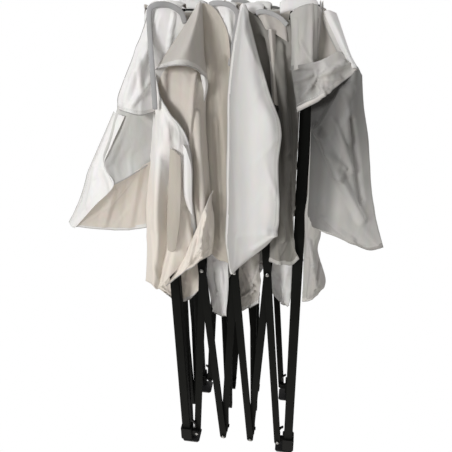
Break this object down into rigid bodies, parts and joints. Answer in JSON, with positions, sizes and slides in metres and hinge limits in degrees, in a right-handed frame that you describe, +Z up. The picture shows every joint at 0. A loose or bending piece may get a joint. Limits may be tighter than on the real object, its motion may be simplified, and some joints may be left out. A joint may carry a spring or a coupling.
{
  "type": "pop up gazebo",
  "caption": "Pop up gazebo standing nearly folded: scissor frame with telescoping legs, locking sliders and a gathered fabric canopy draped over the top",
  "frame": {"origin": "underside of the front left foot, on the axis of its leg", "axes": "+X along the three-bay long side to the front right leg, +Y along the two-bay side to the back legs, +Z up the legs"},
  "size_m": [0.99, 0.576, 1.57],
  "materials": {
    "leg": "black powder coated square steel tube, fine satin texture",
    "bar": "black powder coated steel bar, satin",
    "inner_leg": "dark coated steel tube",
    "moulding": "moulded black nylon, fine matt grain",
    "lock": "moulded black nylon lever",
    "canopy": "white coated polyester cloth, soft sheen, crisp creases, sewn hems",
    "bolt": "bright zinc plated bolt heads"
  },
  "bodies": {
    "outer_leg_front_left": {"outer_leg_front_left": "leg", "canopy_front_left": "canopy"},
    "front_bar_a1": {"front_bar_a1": "bar"},
    "front_bar_b1": {"front_bar_b1": "bar"},
    "front_bar_a2": {"front_bar_a2": "bar"},
    "front_bar_b2": {"front_bar_b2": "bar"},
    "front_bar_a3": {"front_bar_a3": "bar"},
    "front_bar_b3": {"front_bar_b3": "bar"},
    "left_bar_a1": {"left_bar_a1": "bar"},
    "left_bar_b1": {"left_bar_b1": "bar"},
    "left_bar_a2": {"left_bar_a2": "bar"},
    "left_bar_b2": {"left_bar_b2": "bar"},
    "outer_leg_front_right": {"outer_leg_front_right": "leg", "canopy_front_right": "canopy"},
    "outer_leg_back_left": {"outer_leg_back_left": "leg", "canopy_back_left": "canopy"},
    "back_bar_a1": {"back_bar_a1": "bar"},
    "back_bar_b1": {"back_bar_b1": "bar"},
    "back_bar_a2": {"back_bar_a2": "bar"},
    "back_bar_b2": {"back_bar_b2": "bar"},
    "back_bar_a3": {"back_bar_a3": "bar"},
    "back_bar_b3": {"back_bar_b3": "bar"},
    "outer_leg_back_right": {"outer_leg_back_right": "leg", "canopy_back_right": "canopy"},
    "right_bar_a1": {"right_bar_a1": "bar"},
    "right_bar_b1": {"right_bar_b1": "bar"},
    "right_bar_a2": {"right_bar_a2": "bar"},
    "right_bar_b2": {"right_bar_b2": "bar"},
    "front_upper_hub_1": {"front_upper_hub_1": "moulding"},
    "front_lower_hub_1": {"front_lower_hub_1": "moulding"},
    "front_upper_hub_2": {"front_upper_hub_2": "moulding"},
    "front_lower_hub_2": {"front_lower_hub_2": "moulding"},
    "back_upper_hub_1": {"back_upper_hub_1": "moulding"},
    "back_lower_hub_1": {"back_lower_hub_1": "moulding"},
    "back_upper_hub_2": {"back_upper_hub_2": "moulding"},
    "back_lower_hub_2": {"back_lower_hub_2": "moulding"},
    "truss_1_bar_a1": {"truss_1_bar_a1": "bar"},
    "truss_1_bar_b1": {"truss_1_bar_b1": "bar"},
    "truss_1_bar_a2": {"truss_1_bar_a2": "bar"},
    "truss_1_bar_b2": {"truss_1_bar_b2": "bar"},
    "truss_2_bar_a1": {"truss_2_bar_a1": "bar"},
    "truss_2_bar_b1": {"truss_2_bar_b1": "bar"},
    "truss_2_bar_a2": {"truss_2_bar_a2": "bar"},
    "truss_2_bar_b2": {"truss_2_bar_b2": "bar"},
    "slider_front_left": {"slider_front_left": "moulding"},
    "inner_leg_front_left": {"inner_leg_front_left": "inner_leg"},
    "slider_lock_front_left": {"slider_lock_front_left": "lock"},
    "slider_front_right": {"slider_front_right": "moulding"},
    "inner_leg_front_right": {"inner_leg_front_right": "inner_leg"},
    "slider_lock_front_right": {"slider_lock_front_right": "lock"},
    "slider_back_left": {"slider_back_left": "moulding"},
    "inner_leg_back_left": {"inner_leg_back_left": "inner_leg"},
    "slider_lock_back_left": {"slider_lock_back_left": "lock"},
    "slider_back_right": {"slider_back_right": "moulding"},
    "inner_leg_back_right": {"inner_leg_back_right": "inner_leg"},
    "slider_lock_back_right": {"slider_lock_back_right": "lock"},
    "canopy_roof_1": {"canopy_roof_1": "canopy"},
    "canopy_roof_2": {"canopy_roof_2": "canopy"},
    "canopy_roof_3": {"canopy_roof_3": "canopy"},
    "canopy_roof_4": {"canopy_roof_4": "canopy"}
  },
  "joints": [
    {"name": "fold", "type": "hinge", "parent": "outer_leg_front_left", "child": "front_bar_a1", "pos_m": [0.04, 0, 1.54132], "axis": [0, -1, 0], "range_deg": [0, 71]},
    {"name": "turn_front_bar_b1", "type": "hinge", "parent": "front_bar_a1", "child": "front_bar_b1", "pos_m": [0.0925, 0, 0.79316], "axis": [0, -1, 0], "range_deg": [-145, 3]},
    {"name": "turn_front_bar_a2", "type": "hinge", "parent": "front_bar_b1", "child": "front_bar_a2", "pos_m": [0.145, 0, 1.54132], "axis": [0, -1, 0], "range_deg": [-3, 145]},
    {"name": "turn_front_bar_b2", "type": "hinge", "parent": "front_bar_a2", "child": "front_bar_b2", "pos_m": [0.1975, 0, 0.79316], "axis": [0, -1, 0], "range_deg": [-145, 3]},
    {"name": "turn_front_bar_a3", "type": "hinge", "parent": "front_bar_b2", "child": "front_bar_a3", "pos_m": [0.25, 0, 1.54132], "axis": [0, -1, 0], "range_deg": [-3, 145]},
    {"name": "turn_front_bar_b3", "type": "hinge", "parent": "front_bar_a3", "child": "front_bar_b3", "pos_m": [0.3025, 0, 0.79316], "axis": [0, -1, 0], "range_deg": [-145, 3]},
    {"name": "turn_left_bar_a1", "type": "hinge", "parent": "outer_leg_front_left", "child": "left_bar_a1", "pos_m": [0, 0.04, 1.54132], "axis": [1, 0, 0], "range_deg": [-3, 74]},
    {"name": "turn_left_bar_b1", "type": "hinge", "parent": "left_bar_a1", "child": "left_bar_b1", "pos_m": [0, 0.0925, 0.79316], "axis": [1, 0, 0], "range_deg": [-145, 3]},
    {"name": "turn_left_bar_a2", "type": "hinge", "parent": "left_bar_b1", "child": "left_bar_a2", "pos_m": [0, 0.145, 1.54132], "axis": [1, 0, 0], "range_deg": [-3, 145]},
    {"name": "turn_left_bar_b2", "type": "hinge", "parent": "left_bar_a2", "child": "left_bar_b2", "pos_m": [0, 0.1975, 0.79316], "axis": [1, 0, 0], "range_deg": [-145, 3]},
    {"name": "turn_outer_leg_front_right", "type": "hinge", "parent": "front_bar_b3", "child": "outer_leg_front_right", "pos_m": [0.355, 0, 1.54132], "axis": [0, -1, 0], "range_deg": [-3, 74]},
    {"name": "turn_outer_leg_back_left", "type": "hinge", "parent": "left_bar_b2", "child": "outer_leg_back_left", "pos_m": [0, 0.25, 1.54132], "axis": [1, 0, 0], "range_deg": [-3, 74]},
    {"name": "turn_back_bar_a1", "type": "hinge", "parent": "outer_leg_back_left", "child": "back_bar_a1", "pos_m": [0.04, 0.29, 1.54132], "axis": [0, -1, 0], "range_deg": [-3, 74]},
    {"name": "turn_back_bar_b1", "type": "hinge", "parent": "back_bar_a1", "child": "back_bar_b1", "pos_m": [0.0925, 0.29, 0.79316], "axis": [0, -1, 0], "range_deg": [-145, 3]},
    {"name": "turn_back_bar_a2", "type": "hinge", "parent": "back_bar_b1", "child": "back_bar_a2", "pos_m": [0.145, 0.29, 1.54132], "axis": [0, -1, 0], "range_deg": [-3, 145]},
    {"name": "turn_back_bar_b2", "type": "hinge", "parent": "back_bar_a2", "child": "back_bar_b2", "pos_m": [0.1975, 0.29, 0.79316], "axis": [0, -1, 0], "range_deg": [-145, 3]},
    {"name": "turn_back_bar_a3", "type": "hinge", "parent": "back_bar_b2", "child": "back_bar_a3", "pos_m": [0.25, 0.29, 1.54132], "axis": [0, -1, 0], "range_deg": [-3, 145]},
    {"name": "turn_back_bar_b3", "type": "hinge", "parent": "back_bar_a3", "child": "back_bar_b3", "pos_m": [0.3025, 0.29, 0.79316], "axis": [0, -1, 0], "range_deg": [-145, 3]},
    {"name": "turn_outer_leg_back_right", "type": "hinge", "parent": "back_bar_b3", "child": "outer_leg_back_right", "pos_m": [0.355, 0.29, 1.54132], "axis": [0, -1, 0], "range_deg": [-3, 74]},
    {"name": "turn_right_bar_a1", "type": "hinge", "parent": "outer_leg_front_right", "child": "right_bar_a1", "pos_m": [0.395, 0.04, 1.54132], "axis": [1, 0, 0], "range_deg": [-3, 74]},
    {"name": "turn_right_bar_b1", "type": "hinge", "parent": "right_bar_a1", "child": "right_bar_b1", "pos_m": [0.395, 0.0925, 0.79316], "axis": [1, 0, 0], "range_deg": [-145, 3]},
    {"name": "turn_right_bar_a2", "type": "hinge", "parent": "right_bar_b1", "child": "right_bar_a2", "pos_m": [0.395, 0.145, 1.54132], "axis": [1, 0, 0], "range_deg": [-3, 145]},
    {"name": "turn_right_bar_b2", "type": "hinge", "parent": "right_bar_a2", "child": "right_bar_b2", "pos_m": [0.395, 0.1975, 0.79316], "axis": [1, 0, 0], "range_deg": [-145, 3]},
    {"name": "turn_front_upper_hub_1", "type": "hinge", "parent": "front_bar_b1", "child": "front_upper_hub_1", "pos_m": [0.145, 0, 1.54132], "axis": [0, -1, 0], "range_deg": [-3, 74]},
    {"name": "turn_front_lower_hub_1", "type": "hinge", "parent": "front_bar_a1", "child": "front_lower_hub_1", "pos_m": [0.145, 0, 0.045], "axis": [0, -1, 0], "range_deg": [-74, 3]},
    {"name": "turn_front_upper_hub_2", "type": "hinge", "parent": "front_bar_b2", "child": "front_upper_hub_2", "pos_m": [0.25, 0, 1.54132], "axis": [0, -1, 0], "range_deg": [-3, 74]},
    {"name": "turn_front_lower_hub_2", "type": "hinge", "parent": "front_bar_a2", "child": "front_lower_hub_2", "pos_m": [0.25, 0, 0.045], "axis": [0, -1, 0], "range_deg": [-74, 3]},
    {"name": "turn_back_upper_hub_1", "type": "hinge", "parent": "back_bar_b1", "child": "back_upper_hub_1", "pos_m": [0.145, 0.29, 1.54132], "axis": [0, -1, 0], "range_deg": [-3, 74]},
    {"name": "turn_back_lower_hub_1", "type": "hinge", "parent": "back_bar_a1", "child": "back_lower_hub_1", "pos_m": [0.145, 0.29, 0.045], "axis": [0, -1, 0], "range_deg": [-74, 3]},
    {"name": "turn_back_upper_hub_2", "type": "hinge", "parent": "back_bar_b2", "child": "back_upper_hub_2", "pos_m": [0.25, 0.29, 1.54132], "axis": [0, -1, 0], "range_deg": [-3, 74]},
    {"name": "turn_back_lower_hub_2", "type": "hinge", "parent": "back_bar_a2", "child": "back_lower_hub_2", "pos_m": [0.25, 0.29, 0.045], "axis": [0, -1, 0], "range_deg": [-74, 3]},
    {"name": "turn_truss_1_bar_a1", "type": "hinge", "parent": "front_upper_hub_1", "child": "truss_1_bar_a1", "pos_m": [0.145, 0.04, 1.54132], "axis": [1, 0, 0], "range_deg": [-3, 74]},
    {"name": "turn_truss_1_bar_b1", "type": "hinge", "parent": "truss_1_bar_a1", "child": "truss_1_bar_b1", "pos_m": [0.145, 0.0925, 0.79316], "axis": [1, 0, 0], "range_deg": [-145, 3]},
    {"name": "turn_truss_1_bar_a2", "type": "hinge", "parent": "truss_1_bar_b1", "child": "truss_1_bar_a2", "pos_m": [0.145, 0.145, 1.54132], "axis": [1, 0, 0], "range_deg": [-3, 145]},
    {"name": "turn_truss_1_bar_b2", "type": "hinge", "parent": "truss_1_bar_a2", "child": "truss_1_bar_b2", "pos_m": [0.145, 0.1975, 0.79316], "axis": [1, 0, 0], "range_deg": [-145, 3]},
    {"name": "turn_truss_2_bar_a1", "type": "hinge", "parent": "front_upper_hub_2", "child": "truss_2_bar_a1", "pos_m": [0.25, 0.04, 1.54132], "axis": [1, 0, 0], "range_deg": [-3, 74]},
    {"name": "turn_truss_2_bar_b1", "type": "hinge", "parent": "truss_2_bar_a1", "child": "truss_2_bar_b1", "pos_m": [0.25, 0.0925, 0.79316], "axis": [1, 0, 0], "range_deg": [-145, 3]},
    {"name": "turn_truss_2_bar_a2", "type": "hinge", "parent": "truss_2_bar_b1", "child": "truss_2_bar_a2", "pos_m": [0.25, 0.145, 1.54132], "axis": [1, 0, 0], "range_deg": [-3, 145]},
    {"name": "turn_truss_2_bar_b2", "type": "hinge", "parent": "truss_2_bar_a2", "child": "truss_2_bar_b2", "pos_m": [0.25, 0.1975, 0.79316], "axis": [1, 0, 0], "range_deg": [-145, 3]},
    {"name": "turn_slider_front_left", "type": "hinge", "parent": "front_bar_b1", "child": "slider_front_left", "pos_m": [0.04, 0, 0.045], "axis": [0, -1, 0], "range_deg": [-3, 74]},
    {"name": "leg_extension_front_left", "type": "slide", "parent": "outer_leg_front_left", "child": "inner_leg_front_left", "axis": [0, 0, -1], "range_m": [0, 0.95]},
    {"name": "lock_front_left", "type": "hinge", "parent": "slider_front_left", "child": "slider_lock_front_left", "pos_m": [0.033, 0, 0.073], "axis": [0, 1, 0], "range_deg": [0, 22], "stiffness_Nm_per_rad": 0.02},
    {"name": "turn_slider_front_right", "type": "hinge", "parent": "front_bar_a3", "child": "slider_front_right", "pos_m": [0.355, 0, 0.045], "axis": [0, -1, 0], "range_deg": [-74, 3]},
    {"name": "leg_extension_front_right", "type": "slide", "parent": "outer_leg_front_right", "child": "inner_leg_front_right", "axis": [0, 0, -1], "range_m": [0, 0.95]},
    {"name": "lock_front_right", "type": "hinge", "parent": "slider_front_right", "child": "slider_lock_front_right", "pos_m": [0.362, 0, 0.073], "axis": [0, -1, 0], "range_deg": [0, 22], "stiffness_Nm_per_rad": 0.02},
    {"name": "turn_slider_back_left", "type": "hinge", "parent": "back_bar_b1", "child": "slider_back_left", "pos_m": [0.04, 0.29, 0.045], "axis": [0, -1, 0], "range_deg": [-3, 74]},
    {"name": "leg_extension_back_left", "type": "slide", "parent": "outer_leg_back_left", "child": "inner_leg_back_left", "axis": [0, 0, -1], "range_m": [0, 0.95]},
    {"name": "lock_back_left", "type": "hinge", "parent": "slider_back_left", "child": "slider_lock_back_left", "pos_m": [0.033, 0.29, 0.073], "axis": [0, 1, 0], "range_deg": [0, 22], "stiffness_Nm_per_rad": 0.02},
    {"name": "turn_slider_back_right", "type": "hinge", "parent": "back_bar_a3", "child": "slider_back_right", "pos_m": [0.355, 0.29, 0.045], "axis": [0, -1, 0], "range_deg": [-74, 3]},
    {"name": "leg_extension_back_right", "type": "slide", "parent": "outer_leg_back_right", "child": "inner_leg_back_right", "axis": [0, 0, -1], "range_m": [0, 0.95]},
    {"name": "lock_back_right", "type": "hinge", "parent": "slider_back_right", "child": "slider_lock_back_right", "pos_m": [0.362, 0.29, 0.073], "axis": [0, -1, 0], "range_deg": [0, 22], "stiffness_Nm_per_rad": 0.02},
    {"name": "spread_canopy_roof_1", "type": "slide", "parent": "left_bar_a1", "child": "canopy_roof_1", "axis": [1, 0, 0], "range_m": [-0.1, 4.132]},
    {"name": "spread_canopy_roof_2", "type": "slide", "parent": "left_bar_b1", "child": "canopy_roof_2", "axis": [1, 0, 0], "range_m": [-0.1, 4.132]},
    {"name": "spread_canopy_roof_3", "type": "slide", "parent": "left_bar_a2", "child": "canopy_roof_3", "axis": [1, 0, 0], "range_m": [-0.1, 4.132]},
    {"name": "spread_canopy_roof_4", "type": "slide", "parent": "left_bar_b2", "child": "canopy_roof_4", "axis": [1, 0, 0], "range_m": [-0.1, 4.132]}
  ],
  "couplings": [
    {"joint": "turn_front_bar_b1", "follows": "fold", "ratio": -2},
    {"joint": "turn_front_bar_a2", "follows": "fold", "ratio": 2},
    {"joint": "turn_front_bar_b2", "follows": "fold", "ratio": -2},
    {"joint": "turn_front_bar_a3", "follows": "fold", "ratio": 2},
    {"joint": "turn_front_bar_b3", "follows": "fold", "ratio": -2},
    {"joint": "turn_left_bar_a1", "follows": "fold", "ratio": 1},
    {"joint": "turn_left_bar_b1", "follows": "fold", "ratio": -2},
    {"joint": "turn_left_bar_a2", "follows": "fold", "ratio": 2},
    {"joint": "turn_left_bar_b2", "follows": "fold", "ratio": -2},
    {"joint": "turn_outer_leg_front_right", "follows": "fold", "ratio": 1},
    {"joint": "turn_outer_leg_back_left", "follows": "fold", "ratio": 1},
    {"joint": "turn_back_bar_a1", "follows": "fold", "ratio": 1},
    {"joint": "turn_back_bar_b1", "follows": "fold", "ratio": -2},
    {"joint": "turn_back_bar_a2", "follows": "fold", "ratio": 2},
    {"joint": "turn_back_bar_b2", "follows": "fold", "ratio": -2},
    {"joint": "turn_back_bar_a3", "follows": "fold", "ratio": 2},
    {"joint": "turn_back_bar_b3", "follows": "fold", "ratio": -2},
    {"joint": "turn_outer_leg_back_right", "follows": "fold", "ratio": 1},
    {"joint": "turn_right_bar_a1", "follows": "fold", "ratio": 1},
    {"joint": "turn_right_bar_b1", "follows": "fold", "ratio": -2},
    {"joint": "turn_right_bar_a2", "follows": "fold", "ratio": 2},
    {"joint": "turn_right_bar_b2", "follows": "fold", "ratio": -2},
    {"joint": "turn_front_upper_hub_1", "follows": "fold", "ratio": 1},
    {"joint": "turn_front_lower_hub_1", "follows": "fold", "ratio": -1},
    {"joint": "turn_front_upper_hub_2", "follows": "fold", "ratio": 1},
    {"joint": "turn_front_lower_hub_2", "follows": "fold", "ratio": -1},
    {"joint": "turn_back_upper_hub_1", "follows": "fold", "ratio": 1},
    {"joint": "turn_back_lower_hub_1", "follows": "fold", "ratio": -1},
    {"joint": "turn_back_upper_hub_2", "follows": "fold", "ratio": 1},
    {"joint": "turn_back_lower_hub_2", "follows": "fold", "ratio": -1},
    {"joint": "turn_truss_1_bar_a1", "follows": "fold", "ratio": 1},
    {"joint": "turn_truss_1_bar_b1", "follows": "fold", "ratio": -2},
    {"joint": "turn_truss_1_bar_a2", "follows": "fold", "ratio": 2},
    {"joint": "turn_truss_1_bar_b2", "follows": "fold", "ratio": -2},
    {"joint": "turn_truss_2_bar_a1", "follows": "fold", "ratio": 1},
    {"joint": "turn_truss_2_bar_b1", "follows": "fold", "ratio": -2},
    {"joint": "turn_truss_2_bar_a2", "follows": "fold", "ratio": 2},
    {"joint": "turn_truss_2_bar_b2", "follows": "fold", "ratio": -2},
    {"joint": "turn_slider_front_left", "follows": "fold", "ratio": 1},
    {"joint": "turn_slider_front_right", "follows": "fold", "ratio": -1},
    {"joint": "turn_slider_back_left", "follows": "fold", "ratio": 1},
    {"joint": "turn_slider_back_right", "follows": "fold", "ratio": -1},
    {"joint": "spread_canopy_roof_1", "follows": "fold", "m_per_rad": 3.2537},
    {"joint": "spread_canopy_roof_2", "follows": "fold", "m_per_rad": 3.2537},
    {"joint": "spread_canopy_roof_3", "follows": "fold", "m_per_rad": 3.2537},
    {"joint": "spread_canopy_roof_4", "follows": "fold", "m_per_rad": 3.2537}
  ]
}
